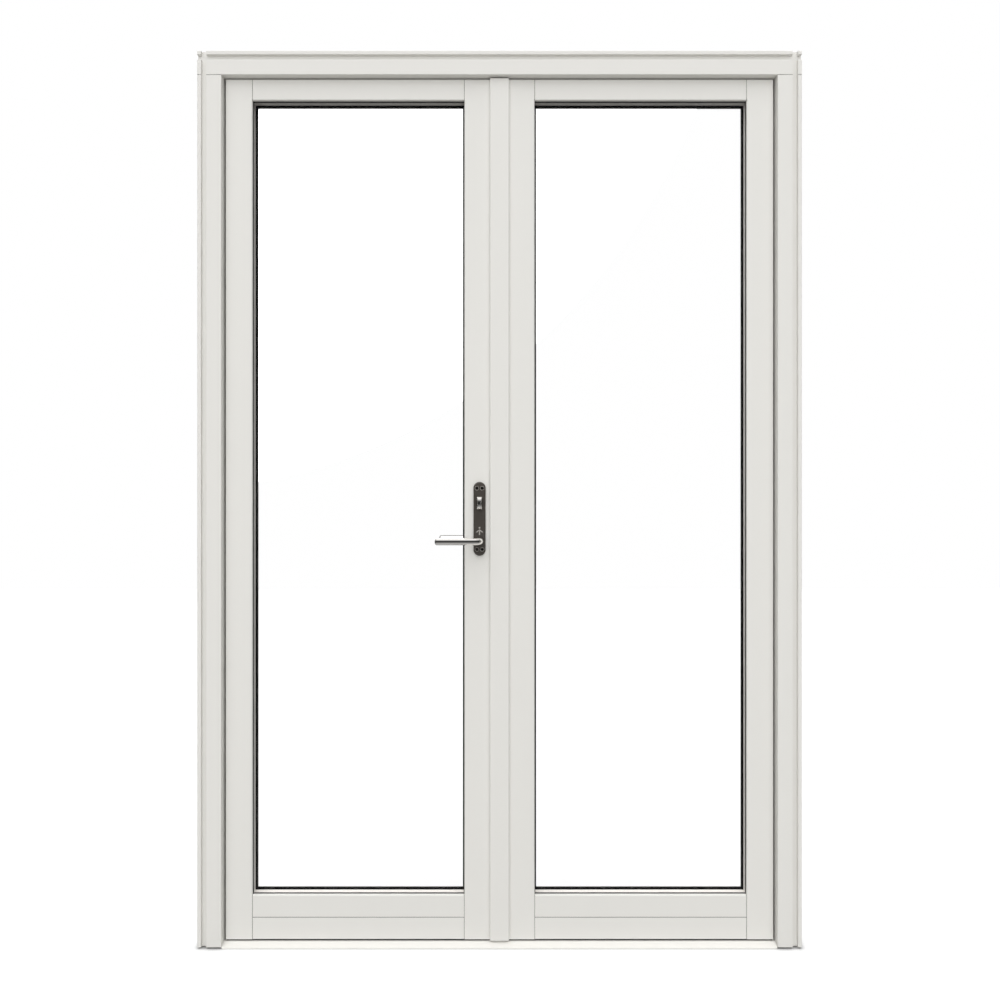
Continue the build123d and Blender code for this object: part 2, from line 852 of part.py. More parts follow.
def handle_plate(outwards, node):
    leaf_face = leaf_front if outwards < 0 else leaf_back
    face = plate_front if outwards < 0 else plate_back
    plane, length = spans("Y", *sorted((leaf_face, face)))
    with BuildPart() as plate:
        with BuildSketch(plane):
            with Locations((handle_x, plate_middle)):
                RectangleRounded(plate_width, plate_length, plate_width / 2 - plate_end_flat)
        extrude(amount=length)
        rim = plate.faces().sort_by(Axis.Y)[0 if outwards < 0 else -1]
        chamfer(rim.edges(), plate_bevel)
        hole = lever_radius + lever_clearance
        round_bar("Y", (handle_x, lever_height), hole, *sorted((leaf_face, face)), Mode.SUBTRACT)
        if outwards < 0:
            turn_hole = turn_boss + lever_clearance
            round_bar("Y", (handle_x, turn_height), turn_hole, face, leaf_face, Mode.SUBTRACT)
        plate_screws(face, -outwards, Mode.SUBTRACT)
    write(plate, node)


def handle_plate_screws():
    with BuildPart() as screws:
        for face, inward in ((plate_front, 1), (plate_back, -1)):
            plate_screws(face, inward)
            depth = sorted((face - inward, face + inward * cross_depth))
            for across in (-1, 1):
                for up in (-1, 1):
                    x = handle_x + across * plate_screw_across
                    z = plate_middle + up * plate_screw_up
                    for wide, tall in ((cross_length, cross_width), (cross_width, cross_length)):
                        space = (x - wide / 2, x + wide / 2), depth, (z - tall / 2, z + tall / 2)
                        block(*space, Mode.SUBTRACT)
    write(screws, "handle_plate_screws")


def thumb_turn():
    """A wing with a waist, on a round boss that turns in the plate, and its square tail into the lock."""
    half_wide = turn_width / 2
    half_tall = turn_length / 2
    half_neck = turn_neck / 2
    outline = [
        (handle_x - half_wide, turn_height + half_tall),
        (handle_x + half_wide, turn_height + half_tall),
        (handle_x + half_neck, turn_height),
        (handle_x + half_wide, turn_height - half_tall),
        (handle_x - half_wide, turn_height - half_tall),
        (handle_x - half_neck, turn_height),
    ]
    rounds = [(2, turn_waist), (5, turn_waist)] + [(corner, turn_corner) for corner in (0, 1, 3, 4)]
    wing_back = plate_front - turn_lift
    with BuildPart() as turn:
        profile_bar("Y", outline, wing_back - turn_thick, wing_back, rounds)
        fillet(turn.faces().sort_by(Axis.Y)[0].edges(), turn_arris)
        round_bar("Y", (handle_x, turn_height), turn_boss, wing_back, leaf_front - turn_lift)
        square((handle_x, turn_height), tail_side, (leaf_front - turn_lift, lock_y))
    write(turn, "thumb_turn")


def bolt(middle_z, tall):
    half_wide = bolt_across / 2
    space = (lock_y - half_wide, lock_y + half_wide), (middle_z - tall / 2, middle_z + tall / 2)
    block((bolt_front - bolt_length, bolt_front), *space)


def lock_bolts():
    with BuildPart() as bolts:
        for height in bolt_heights:
            bolt(height, bolt_tall)
        chamfer(bolts.faces().group_by(Axis.X)[-1].edges().filter_by(Axis.Z), bolt_chamfer)
    write(bolts, "lock_bolts")


def dead_bolt():
    with BuildPart() as piece:
        bolt(turn_height, dead_bolt_tall)
        chamfer(piece.faces().group_by(Axis.X)[-1].edges().filter_by(Axis.Z), dead_bolt_chamfer)
    write(piece, "dead_bolt")


def drive_rods():
    across = (face_inner - bolt_clearance - rod_thick, face_inner - bolt_clearance)
    with BuildPart() as rods:
        for up in rod_lengths():
            block(across, (lock_y - rod_width / 2, lock_y + rod_width / 2), up)
    write(rods, "drive_rods")


# Meeting post on the passive leaf

def flush_ends():
    """Each flush bolt's outer end, the way that it points and its travel."""
    return [(leaf_top, 1, flush_travel_up), (leaf_bottom, -1, flush_travel_down)]


def slide_span(end, points, slack=0, travel=0):
    """The finger slide's place up the post, with room for its travel."""
    near = end - points * (slide_from_end - travel - slack)
    far = end - points * (slide_from_end + slide_tall + slack)
    return sorted((near, far))


def keep_spans():
    """The keeps' places up the post: below, at the lock case, and above."""
    half = bolt_tall / 2 + keep_margin
    low, middle, high = bolt_heights
    return [(low - half, low + half), (middle - half, turn_height + half), (high - half, high + half)]


def keep_windows(x):
    for height in bolt_heights:
        window(height, bolt_tall, x)
    window(turn_height, dead_bolt_tall, x)


def meeting_post():
    with BuildPart() as post:
        across = (-post_edge, meeting_half)
        outline = [(across[0], leaf_front), (across[1], leaf_front), (across[1], stop), (across[0], stop)]
        profile_bar("Z", outline, leaf_bottom, leaf_top, [(3, small_arris)])
        plate_x = (-post_edge, -post_edge + face_thick)
        for low, high in keep_spans():
            face_plate_space(low, high, plate_x, Mode.SUBTRACT, fit)
        keep_windows((-post_edge - 1, bolt_front + bolt_travel + keep_pocket))
        for end, points, travel in flush_ends():
            inner_end = end - points * (flush_length + flush_clearance)
            low, high = sorted((inner_end, end + points))
            radius = flush_radius + flush_clearance
            round_bar("Z", (flush_x, lock_y), radius, low, high, Mode.SUBTRACT)
            up = slide_span(end, points, flush_clearance, travel)
            half = slide_width / 2 + flush_clearance
            block((-post_edge - 1, flush_x), (lock_y - half, lock_y + half), up, Mode.SUBTRACT)
            low, high = slide_span(end, points, flush_plate_margin, travel)
            face_plate_space(low, high, plate_x, Mode.SUBTRACT, fit)
    write(post, "meeting_post")


def lock_keeps():
    plate_x = (-post_edge, -post_edge + face_thick)
    with BuildPart() as keeps:
        for low, high in keep_spans():
            face_plate_space(low, high, plate_x)
        keep_windows((plate_x[0] - 1, plate_x[1] + 1))
    write(keeps, "lock_keeps")


def flush_bolt_plates():
    plate_x = (-post_edge, -post_edge + face_thick)
    with BuildPart() as plates:
        for end, points, travel in flush_ends():
            low, high = slide_span(end, points, flush_plate_margin, travel)
            face_plate_space(low, high, plate_x)
            up = slide_span(end, points, bolt_clearance, travel)
            half = slide_width / 2 + bolt_clearance
            block((plate_x[0] - 1, plate_x[1] + 1), (lock_y - half, lock_y + half), up, Mode.SUBTRACT)
    write(plates, "flush_bolt_plates")


def flush_bolt(end, points, node):
    with BuildPart() as bolt_and_slide:
        low, high = sorted((end, end - points * flush_length))
        round_bar("Z", (flush_x, lock_y), flush_radius, low, high)
        half = slide_width / 2
        across = (-post_edge + bolt_clearance, flush_x)
        block(across, (lock_y - half, lock_y + half), slide_span(end, points))
    write(bolt_and_slide, node)


def inner_cover_strip():
    """On the post and the passive stile in the room, lapping a little over the active stile."""
    strip_face = leaf_front - strip_thick
    outline = [
        (-strip_half, strip_face),
        (strip_half, strip_face),
        (strip_half, leaf_front),
        (-post_edge, leaf_front),
        (-post_edge, leaf_front - strip_gap),
        (-strip_half, leaf_front - strip_gap),
    ]
    with BuildPart() as strip:
        profile_bar("Z", outline, leaf_bottom, leaf_top, [(0, leaf_arris), (1, leaf_arris)])
    write(strip, "inner_cover_strip")


def outer_cover_strip():
    """On the active leaf's lip outside, lapping over the passive leaf's lip."""
    strip_face = leaf_back + strip_thick
    low = -meeting_lip_half - outer_strip_bite
    high = meeting_lip_half + outer_strip_reach
    outline = [
        (low, leaf_back),
        (-meeting_lip_half, leaf_back),
        (-meeting_lip_half, leaf_back + strip_gap),
        (high, leaf_back + strip_gap),
        (high, strip_face),
        (low, strip_face),
    ]
    with BuildPart() as strip:
        profile_bar("Z", outline, lip_bottom, lip_top, [(4, leaf_arris), (5, leaf_arris)])
    write(strip, "outer_cover_strip")


def meeting_seal():
    """On the outer face of the post, where the active leaf's lip closes on it."""
    low = -post_edge + seal_edge
    high = low + seal_width
    depth = (stop, lip_face - seal_clearance)
    outline = [(low, depth[0]), (high, depth[0]), (high, depth[1]), (low, depth[1])]
    with BuildPart() as seal:
        profile_bar("Z", outline, leaf_bottom, leaf_top, [(2, seal_width / 3), (3, seal_width / 3)])
    write(seal, "meeting_seal")


def leaf(side, name):
    """The pieces that both leaves have."""
    hinge_stile(side, f"{name}_hinge_stile")
    top_rail(side, f"{name}_top_rail")
    bottom_rail(side, f"{name}_bottom_rail")
    kick_board(side, f"{name}_kick_board")
    glass_pane(side, inner_pane, f"{name}_inner_pane")
    glass_pane(side, outer_pane, f"{name}_outer_pane")
    spacer(side, f"{name}_spacer")
    inner_gasket(side, f"{name}_inner_gasket")
    outer_gasket(side, f"{name}_outer_gasket")
    glazing_beads(side, f"{name}_glazing_beads")
    glazing_blocks(side, f"{name}_glazing_blocks")
    bottom_seal(side, f"{name}_bottom_seal")
    leaf_hinges(side, f"{name}_hinges")
    screws_of_leaf_hinges(side, f"{name}_hinge_screws")


head()
jamb(-1, "frame_jamb_left")
jamb(1, "frame_jamb_right")
sill()
frame_screws()
frame_seals()
frame_hinges()
hinge_pins()
head_keep()
leaf(-1, "active")
leaf(1, "passive")
meeting_stile_active()
meeting_stile_passive()
lock_faceplate()
lock_case()
follower()
lever(-1, "inside_lever")
lever(1, "outside_lever")
spindle()
handle_plate(-1, "inside_plate")
handle_plate(1, "outside_plate")
handle_plate_screws()
thumb_turn()
lock_bolts()
dead_bolt()
drive_rods()
meeting_post()
lock_keeps()
flush_bolt_plates()
flush_bolt(leaf_top, 1, "top_flush_bolt")
flush_bolt(leaf_bottom, -1, "bottom_flush_bolt")
inner_cover_strip()
outer_cover_strip()
meeting_seal()
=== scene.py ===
import json
from math import pi, radians

import bmesh
import bpy
import numpy as np
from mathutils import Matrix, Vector

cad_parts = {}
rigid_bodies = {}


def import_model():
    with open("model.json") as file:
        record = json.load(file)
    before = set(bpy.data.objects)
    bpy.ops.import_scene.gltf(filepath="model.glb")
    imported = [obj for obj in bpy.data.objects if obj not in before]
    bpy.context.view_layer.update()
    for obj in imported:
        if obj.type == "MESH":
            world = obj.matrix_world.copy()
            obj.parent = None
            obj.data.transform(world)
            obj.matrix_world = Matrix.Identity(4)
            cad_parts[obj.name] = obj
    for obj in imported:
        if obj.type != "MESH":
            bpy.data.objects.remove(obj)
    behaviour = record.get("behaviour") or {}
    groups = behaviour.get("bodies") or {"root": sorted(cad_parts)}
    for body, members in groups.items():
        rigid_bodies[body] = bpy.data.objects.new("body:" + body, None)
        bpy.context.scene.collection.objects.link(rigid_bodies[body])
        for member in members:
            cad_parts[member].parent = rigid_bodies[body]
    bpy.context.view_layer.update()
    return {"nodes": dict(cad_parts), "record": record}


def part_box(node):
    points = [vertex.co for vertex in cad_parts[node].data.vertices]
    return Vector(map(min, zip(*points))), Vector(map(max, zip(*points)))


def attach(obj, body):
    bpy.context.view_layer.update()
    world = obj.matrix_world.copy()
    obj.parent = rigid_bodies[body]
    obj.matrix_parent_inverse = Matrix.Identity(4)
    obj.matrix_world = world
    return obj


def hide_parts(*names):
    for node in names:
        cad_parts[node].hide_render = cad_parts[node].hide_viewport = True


for leftover in list(bpy.data.objects):
    bpy.data.objects.remove(leftover)
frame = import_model()
scene = bpy.context.scene
slotOf = {part["node"]: part["material_slot"] for part in frame["record"]["subparts"]}
print("frame:", len(frame["nodes"]), "nodes")


# Shader helpers

def newGroup(name, inputs, outputs):
    group = bpy.data.node_groups.new(name, "ShaderNodeTree")
    for label, kind, value in inputs:
        socket = group.interface.new_socket(name=label, in_out="INPUT", socket_type=kind)
        socket.default_value = value
    for label, kind in outputs:
        group.interface.new_socket(name=label, in_out="OUTPUT", socket_type=kind)
    return group, group.nodes.new("NodeGroupInput"), group.nodes.new("NodeGroupOutput")


def addNode(tree, kind, links=(), **settings):
    # in_Some_Socket=value sets a socket, anything else sets the node itself
    node = tree.nodes.new(kind)
    for key, value in settings.items():
        if key.startswith("in_"):
            node.inputs[key[3:].replace("_", " ")].default_value = value
        else:
            setattr(node, key, value)
    for target, source in links:
        tree.links.new(source, node.inputs[target])
    return node


def calc(tree, operation, *values):
    node = addNode(tree, "ShaderNodeMath", operation=operation)
    for place, value in enumerate(values):
        if isinstance(value, (int, float)):
            node.inputs[place].default_value = value
        else:
            tree.links.new(value, node.inputs[place])
    return node.outputs[0]


def scaled(tree, source, factor):
    node = addNode(tree, "ShaderNodeVectorMath", [(0, source)], operation="MULTIPLY")
    if isinstance(factor, tuple):
        node.inputs[1].default_value = factor
    else:
        tree.links.new(factor, node.inputs[1])
    return node.outputs[0]


filmNoise = {
    "drawnDetail": 4.0,
    "drawnRoughness": 0.6,
    "skinDetail": 2.0,
    "slowScale": 2.6,
    "slowDetail": 2.0,
    "slowShare": 0.7,  # of the tone, the rest is the drawn-out noise
}


# Surface film: drawn-out noise for what shows through it, fine noise for its skin, slow noise for its tone.
# Its colour is the given colour times one grey number.
def filmGroup():
    group, source, sink = newGroup(
        "surfaceFilm",
        [("Colour", "NodeSocketColor", (0.8, 0.8, 0.8, 1)), ("Draw", "NodeSocketVector", (60, 60, 4)),
         ("Skin Scale", "NodeSocketFloat", 700), ("Tone Change", "NodeSocketFloat", 0.02),
         ("Roughness", "NodeSocketFloat", 0.35), ("Roughness Change", "NodeSocketFloat", 0.1),
         ("Drawn Share", "NodeSocketFloat", 0.5)],
        [("Colour", "NodeSocketColor"), ("Roughness", "NodeSocketFloat"), ("Height", "NodeSocketFloat")])
    place = addNode(group, "ShaderNodeTexCoord").outputs["Object"]
    drawn = addNode(group, "ShaderNodeTexNoise", [("Vector", scaled(group, place, source.outputs["Draw"]))],
                    in_Scale=1.0, in_Detail=filmNoise["drawnDetail"],
                    in_Roughness=filmNoise["drawnRoughness"]).outputs["Fac"]
    skin = addNode(group, "ShaderNodeTexNoise", [("Vector", place), ("Scale", source.outputs["Skin Scale"])],
                   in_Detail=filmNoise["skinDetail"]).outputs["Fac"]
    slow = addNode(group, "ShaderNodeTexNoise", [("Vector", place)],
                   in_Scale=filmNoise["slowScale"], in_Detail=filmNoise["slowDetail"]).outputs["Fac"]
    slowShare = filmNoise["slowShare"]
    mixed = calc(group, "ADD", calc(group, "MULTIPLY", slow, slowShare),
                 calc(group, "MULTIPLY", drawn, 1 - slowShare))
    swing = calc(group, "MULTIPLY", calc(group, "SUBTRACT", mixed, 0.5), source.outputs["Tone Change"])
    factor = calc(group, "ADD", swing, 1.0)
    bright = addNode(group, "ShaderNodeCombineXYZ", [(axis, factor) for axis in range(3)])
    colour = scaled(group, source.outputs["Colour"], bright.outputs[0])
    group.links.new(colour, sink.inputs["Colour"])
    rough = calc(group, "MULTIPLY", calc(group, "SUBTRACT", drawn, 0.5), source.outputs["Roughness Change"])
    group.links.new(calc(group, "ADD", rough, source.outputs["Roughness"]), sink.inputs["Roughness"])
    share = source.outputs["Drawn Share"]
    rest = calc(group, "SUBTRACT", 1.0, share)
    height = calc(group, "ADD", calc(group, "MULTIPLY", drawn, share), calc(group, "MULTIPLY", skin, rest))
    group.links.new(height, sink.inputs["Height"])
    return group


surfaceFilm = filmGroup()


def film(draw, skin, tone, rough, change, share=0.5):
    # scales of the drawn-out and the fine noise, how far tone and roughness swing, drawn share of the bump
    return {"Draw": draw, "Skin Scale": skin, "Tone Change": tone, "Roughness": rough,
            "Roughness Change": change, "Drawn Share": share}


def finish(name, colour, values, bump, **shader):
    # one Principled shader: the film group feeds its colour, roughness and normal; bump is strength, depth
    material = bpy.data.materials.new(name)
    material.use_nodes = True
    tree = material.node_tree
    principled = tree.nodes["Principled BSDF"]
    group = addNode(tree, "ShaderNodeGroup", node_tree=surfaceFilm, in_Colour=(*colour, 1))
    for key, value in values.items():
        group.inputs[key].default_value = value
    relief = addNode(tree, "ShaderNodeBump", [("Height", group.outputs["Height"])],
                     in_Strength=bump[0], in_Distance=bump[1])
    tree.links.new(group.outputs["Colour"], principled.inputs["Base Color"])
    tree.links.new(group.outputs["Roughness"], principled.inputs["Roughness"])
    tree.links.new(relief.outputs["Normal"], principled.inputs["Normal"])
    for key, value in shader.items():
        principled.inputs[key.replace("_", " ")].default_value = value
    material.diffuse_color = (*colour, 1)
    return material


paint = {
    "tone": (0.80, 0.791, 0.760),
    "sillTone": (0.882, 0.867, 0.827),
    "upright": (55, 55, 3.2),  # the brush marks run along the piece
    "level": (3.2, 55, 55),
    "skin": 620,
    "toneChange": 0.018,
    "rough": 0.42,
    "sillRough": 0.34,
    "roughChange": 0.08,
    "drawnShare": 0.15,
    "bump": (0.04, 0.0003),
    "gloss": 0.12,
}


def paintFinish(name, tone, draw, rough, **shader):
    values = film(draw, paint["skin"], paint["toneChange"], rough, paint["roughChange"], paint["drawnShare"])
    return finish(name, tone, values, paint["bump"], **shader)


finishes = {
    "paintUpright": paintFinish("paintUpright", paint["tone"], paint["upright"], paint["rough"],
                                Specular_IOR_Level=paint["gloss"]),
    "paintLevel": paintFinish("paintLevel", paint["tone"], paint["level"], paint["rough"],
                              Specular_IOR_Level=paint["gloss"]),
    "sillPaint": paintFinish("sillPaint", paint["sillTone"], paint["level"], paint["sillRough"]),
    "spacer": finish("edgeSpacer", (0.90, 0.865, 0.82),
                     film((900, 30, 900), 900, 0.25, 0.5, 0.2), (0.3, 0.0003)),
    "rubber": finish("sealRubber", (0.008, 0.008, 0.008),
                     film((30, 400, 30), 1500, 0.6, 0.55, 0.25), (0.25, 0.0002)),
    "packer": finish("glazingPacker", (0.05, 0.12, 0.30),
                     film((40, 40, 40), 600, 0.2, 0.45, 0.1), (0.15, 0.0002)),
    "zinc": finish("zincPlate", (0.60, 0.61, 0.63),
                   film((90, 90, 700), 900, 0.22, 0.42, 0.25), (0.12, 0.0002), Metallic=0.7),
    "chrome": finish("polishedChrome", (0.94, 0.915, 0.885),
                     film((120, 120, 120), 1200, 0.03, 0.07, 0.06), (0.01, 0.0001), Metallic=1.0),
    "dark_plate": finish("darkLacquer", (0.063, 0.054, 0.046),
                         film((60, 60, 60), 2200, 0.2, 0.42, 0.12, share=0.1), (0.22, 0.0002)),
    "dark_screw": finish("blackenedSteel", (0.16, 0.148, 0.135),
                         film((300, 300, 300), 1500, 0.3, 0.3, 0.2), (0.1, 0.0002), Metallic=1.0),
    # painted shade: near black, for the strips that stand in for the shadow down in the open joints
    "paintedJointShade": finish("paintedJointShade", (0.05, 0.048, 0.045),
                        film((80, 80, 80), 900, 0.3, 0.7, 0.2), (0.1, 0.0001)),
    "brightCut": finish("brightCut", (0.42, 0.40, 0.37),
                        film((200, 200, 200), 1800, 0.15, 0.5, 0.2), (0.1, 0.0001)),
    "brightRim": finish("brightRim", (0.43, 0.405, 0.375),
                        film((200, 200, 200), 1800, 0.15, 0.38, 0.15), (0.1, 0.0001), Metallic=0.3),
}

glass = {
    "waveScale": (2.0, 1.0, 7.0),
    "waveDetail": 1.0,
    "bump": (0.05, 0.0005),
    "shader": {"Base Color": (1, 1, 1, 1), "Roughness": 0.0, "IOR": 1.15, "Transmission Weight": 1.0},
}


def glassFinish():
    # clear float glass: a slow, very shallow waviness is all that its surface has, and lamps shine through it
    material = bpy.data.materials.new("clearGlass")
    material.use_nodes = True
    tree = material.node_tree
    principled = tree.nodes["Principled BSDF"]
    place = addNode(tree, "ShaderNodeTexCoord").outputs["Object"]
    wave = addNode(tree, "ShaderNodeTexNoise", [("Vector", scaled(tree, place, glass["waveScale"]))],
                   in_Scale=1.0, in_Detail=glass["waveDetail"])
    relief = addNode(tree, "ShaderNodeBump", [("Height", wave.outputs["Fac"])],
                     in_Strength=glass["bump"][0], in_Distance=glass["bump"][1])
    tree.links.new(relief.outputs["Normal"], principled.inputs["Normal"])
    shadow = tree.nodes.new("ShaderNodeLightPath").outputs["Is Shadow Ray"]
    clear = tree.nodes.new("ShaderNodeBsdfTransparent")
    lit = addNode(tree, "ShaderNodeMixShader",
                  [("Fac", shadow), (1, principled.outputs[0]), (2, clear.outputs[0])])
    tree.links.new(lit.outputs[0], tree.nodes["Material Output"].inputs["Surface"])
    for key, value in glass["shader"].items():
        principled.inputs[key].default_value = value
    return material


finishes["glass"] = glassFinish()


def paintFor(node):
    low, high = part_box(node)
    return finishes["paintLevel" if high.x - low.x > high.z - low.z else "paintUpright"]


for node, piece in frame["nodes"].items():
    slot = slotOf[node]
    material = paintFor(node) if slot == "paint" else finishes["sillPaint" if slot == "sill_paint" else slot]
    for place in piece.material_slots:
        place.material = material
print("finishes:", len(finishes))


# New pieces: grids of points

mergeWithin = 1e-6


# Each face joins two neighbours in a row to the same two in the next row; columns wrap round, rows may too.
def gridFaces(rows, columns, closedRows):
    down = np.arange(rows if closedRows else rows - 1)[:, None]
    across = np.arange(columns)[None, :]
    nextDown, nextAcross = (down + 1) % rows, (across + 1) % columns
    corners = [down * columns + across, down * columns + nextAcross,
               nextDown * columns + nextAcross, nextDown * columns + across]
    return np.stack([np.broadcast_to(c, (down.size, across.size)) for c in corners], -1).reshape(-1, 4)


def newPiece(name, grids, body, material, sharp=35, closedRows=False, caps=False):
    # each grid is rows x columns x 3, its columns closed into a ring; caps fills the first and last ring
    mesh = bpy.data.meshes.new(name)
    points, faces, start = [], [], 0
    for grid in grids:
        rows, columns = grid.shape[:2]
        last = start + (rows - 1) * columns
        points.append(grid.reshape(-1, 3))
        faces += (gridFaces(rows, columns, closedRows) + start).tolist()
        if caps:
            faces += [list(range(start, start + columns)), list(range(last, last + columns))]
        start += rows * columns
    mesh.from_pydata(np.concatenate(points).tolist(), [], faces)
    shell = bmesh.new()
    shell.from_mesh(mesh)
    bmesh.ops.remove_doubles(shell, verts=shell.verts, dist=mergeWithin)
    bmesh.ops.recalc_face_normals(shell, faces=shell.faces)
    shell.to_mesh(mesh)
    shell.free()
    mesh.polygons.foreach_set("use_smooth", np.ones(len(mesh.polygons), bool))
    mesh.set_sharp_from_angle(angle=radians(sharp))
    mesh.materials.append(material)
    piece = bpy.data.objects.new(name, mesh)
    scene.collection.objects.link(piece)
    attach(piece, body)
    return piece


leverShape = {
    "bend": 0.015,         # radius of the bend's middle line
    "tipDepth": 0.0056,    # length of the rounded tip
    "tipFullness": 2.3,    # 2 is a half ellipse, more is blunter
    "bendSteps": 28,
    "tipSteps": 18,
    "around": 72,
    "sharp": 60,
}


# A ring carried along a path: straight neck, quarter circle, straight bar, then a superellipse tip
# whose ring shrinks as (1 - t^p)^(1/p).
def leverGrid(node, outwards):
    low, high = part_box(node)
    radius = (high.z - low.z) / 2
    middleX, height, tipX = high.x - radius, (high.z + low.z) / 2, low.x
    rootY, barY = (high.y, low.y + radius) if outwards < 0 else (low.y, high.y - radius)
    bend, depth, full = leverShape["bend"], leverShape["tipDepth"], leverShape["tipFullness"]
    turn = np.linspace(0, pi / 2, leverShape["bendSteps"])
    t = np.sin(np.linspace(0, pi / 2, leverShape["tipSteps"]))
    arcX = middleX - bend + bend * np.cos(turn)
    arcY = barY - outwards * bend + outwards * bend * np.sin(turn)
    pathX = np.concatenate([[middleX, middleX], arcX, tipX + depth * (1 - t)])
    pathY = np.concatenate([[rootY, rootY], arcY, np.full(t.size, barY)])
    lean = np.concatenate([[0, 0], turn, np.full(t.size, pi / 2)])
    tip = radius * (1 - t ** full) ** (1 / full)
    ring = np.concatenate([[0, radius], np.full(turn.size, radius), tip])
    about = np.linspace(0, 2 * pi, leverShape["around"], endpoint=False)
    side = ring[:, None] * np.cos(about)
    x = pathX[:, None] + side * np.cos(lean)[:, None]
    y = pathY[:, None] + outwards * side * np.sin(lean)[:, None]
    z = height + ring[:, None] * np.sin(about)
    return np.stack([x, y, z], -1)


for side, outwards in (("inside", -1), ("outside", 1)):
    grid = leverGrid(f"{side}_lever", outwards)
    bar = newPiece(f"{side}LeverBar", [grid], "handle_set", finishes["chrome"], leverShape["sharp"])
    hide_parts(f"{side}_lever")
print("levers")


turnShape = {
    "neck": 0.0085,        # width at the waist
    "wide": 0.015,         # width at the top and bottom
    "flare": 1.25,         # how late the waist opens
    "rimFullness": 2.05,   # of the outline seen from the side
    "edgeFullness": 5.5,   # of the section across the rim
    "depth": 0.013,
    "backShare": 0.02,     # how far the flat back stands behind the disc's edge, of the depth
    "heartShare": 0.3,     # where the middle of the disc lies, of the depth
    "collar": 0.0063,      # radius of the round neck on the plate
    "collarTaper": 0.94,   # its radius where it meets the disc, of that
    "collarIn": 0.002,     # how far it goes into the disc
    "collarFoot": 0.0004,  # height of the chamfer round its foot
    "collarDown": 0.003,   # how far it goes into the plate
    "around": 96,
    "across": 40,
    "sharp": 50,
}


# A thick disc stood on edge: round its rim by one angle, across it by the other, both superellipses. Its
# half width grows with the height from the waist: neck + (wide - neck) * |z|^flare. The collar under it is
# a list of radii turned about its axis.
def turnGrids():
    low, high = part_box("thumb_turn")
    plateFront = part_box("inside_plate")[0].y
    middleX, middleZ, half = (low.x + high.x) / 2, (low.z + high.z) / 2, (high.z - low.z) / 2
    depth = turnShape["depth"]
    backY = low.y + depth
    rim = np.linspace(0, 2 * pi, turnShape["around"], endpoint=False)[None, :]
    over = np.linspace(-pi / 2, pi / 2, turnShape["across"])[:, None]
    power, edge = 2 / turnShape["rimFullness"], 2 / turnShape["edgeFullness"]
    rimZ = half * np.sign(np.sin(rim)) * np.abs(np.sin(rim)) ** power
    rimY = -depth * np.where(np.cos(rim) > 0, np.abs(np.cos(rim)) ** power, -turnShape["backShare"])
    reach = np.abs(np.cos(over)) ** edge
    across = np.sign(np.sin(over)) * np.abs(np.sin(over)) ** edge
    heartY = -turnShape["heartShare"] * depth
    y, z = heartY + reach * (rimY - heartY), reach * rimZ
    opening = (np.abs(z) / half) ** turnShape["flare"]
    width = turnShape["neck"] + (turnShape["wide"] - turnShape["neck"]) * opening
    wing = np.stack([middleX + across * width / 2, backY + y, middleZ + z], -1)
    top, foot = backY - turnShape["collarIn"], plateFront - turnShape["collarFoot"]
    bottom, taper = plateFront + turnShape["collarDown"], turnShape["collarTaper"]
    stepY = np.array([top, top, foot, plateFront, bottom, bottom])[:, None]
    stepRadius = turnShape["collar"] * np.array([0, taper, taper, 1, 1, 0])[:, None]
    about = np.linspace(0, 2 * pi, turnShape["around"], endpoint=False)
    collar = np.stack([middleX + stepRadius * np.cos(about), stepY + 0 * about,
                       middleZ + stepRadius * np.sin(about)], -1)
    return [wing, collar]


thumbTurn = newPiece("thumbTurnWing", turnGrids(), "turn_set", finishes["chrome"],
                     turnShape["sharp"])
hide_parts("thumb_turn")
print("thumb-turn")


rimShape = {
    "head": 0.00475,   # radius of the screw heads
    "ring": 0.0045,    # radius of the rim's middle line
    "tube": 0.00055,
    "around": 48,
    "across": 12,
}


# A thin ring round each screw head: the tube's circle carried round the head's circle.
def rimGrid(middleX, faceY, middleZ):
    about = np.linspace(0, 2 * pi, rimShape["around"], endpoint=False)[:, None]
    tube = np.linspace(0, 2 * pi, rimShape["across"], endpoint=False)[None, :]
    radius = rimShape["ring"] + rimShape["tube"] * np.cos(tube)
    y = faceY + rimShape["tube"] * np.sin(tube) + 0 * about
    return np.stack([middleX + radius * np.cos(about), y, middleZ + radius * np.sin(about)], -1)


def rimGrids():
    low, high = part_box("handle_plate_screws")
    head = rimShape["head"]
    return [rimGrid(x, y, z) for x in (low.x + head, high.x - head) for y in (low.y, high.y)
            for z in (low.z + head, high.z - head)]


newPiece("plateScrewRims", rimGrids(), "active_leaf", finishes["brightRim"], closedRows=True)
print("screw rims")


markShape = {
    "chevronHalf": 0.0066,  # half of the arrow head's width
    "apex": 0.9698,         # heights on the plate
    "ends": 0.9649,
    "stem": (0.9664, 0.9592),
    "dot": 0.9748,
    "stroke": 0.0021,
    "stemStroke": 0.0024,
    "dotSize": 0.0042,
    "proud": 0.00012,       # how far the mark stands on the lacquer
    "swell": 1.5,           # how soon a stroke reaches its full height
    "endSteps": 10,
    "around": 16,
}


